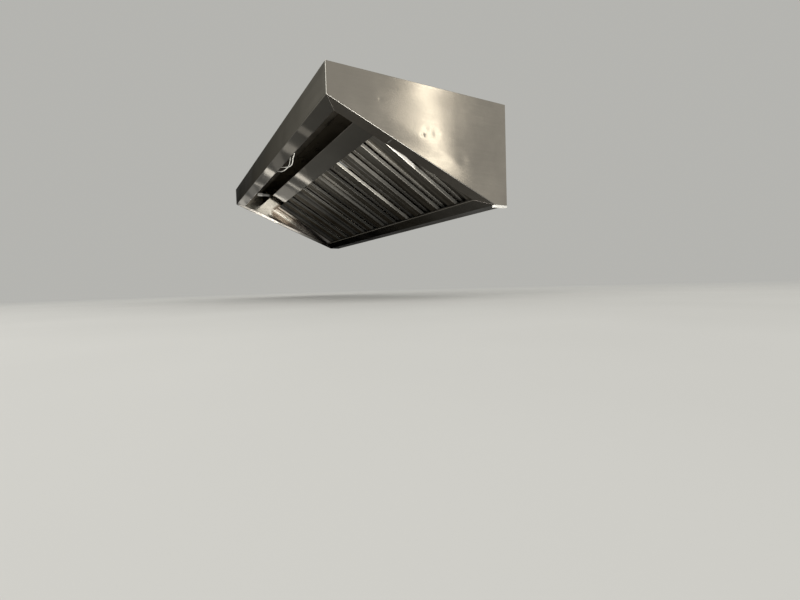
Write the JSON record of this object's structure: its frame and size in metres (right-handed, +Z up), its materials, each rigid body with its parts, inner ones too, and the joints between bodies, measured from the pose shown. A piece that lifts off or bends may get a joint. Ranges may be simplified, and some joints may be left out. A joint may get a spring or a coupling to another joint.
{
  "type": "kitchen exhaust hood",
  "caption": "Stainless steel exhaust hood with a sloped open underside, removable baffle filters, a grease gutter along the wall and a round duct collar on top.",
  "frame": {"origin": "centre of the hanger holes, on the top face", "axes": "+X along the hood towards its near end, +Y towards the wall, +Z up"},
  "size_m": [1.8, 0.72, 0.453],
  "materials": {
    "housing": "stainless steel sheet, brushed along the hood",
    "filter_frame": "stainless steel sheet, brushed, lightly stained by grease",
    "baffles": "stainless steel sheet, brushed, lightly stained by grease",
    "collar": "plain sheet steel, dull",
    "cap": "white, smooth",
    "gland": "light grey, smooth",
    "lead": "white insulation, smooth"
  },
  "bodies": {
    "root": {"top_panel": "housing", "front_fascia": "housing", "grease_gutter": "housing", "back_panel": "housing", "end_panel_near": "housing", "end_panel_far": "housing", "plenum_front": "housing", "upper_rail": "housing", "lower_rail": "housing", "blank_near": "housing", "blank_far": "housing", "filter_1_frame": "filter_frame", "filter_1_front_baffles": "baffles", "filter_1_back_baffles": "baffles", "filter_2_frame": "filter_frame", "filter_2_front_baffles": "baffles", "filter_2_back_baffles": "baffles", "filter_3_frame": "filter_frame", "filter_3_front_baffles": "baffles", "filter_3_back_baffles": "baffles", "filter_4_frame": "filter_frame", "filter_4_front_baffles": "baffles", "filter_4_back_baffles": "baffles", "duct_collar": "collar", "gutter_cap": "cap", "lamp_gland": "gland", "terminal_near": "gland", "terminal_far": "gland", "lamp_lead_1": "lead", "lamp_lead_2": "lead"}
  },
  "joints": []
}
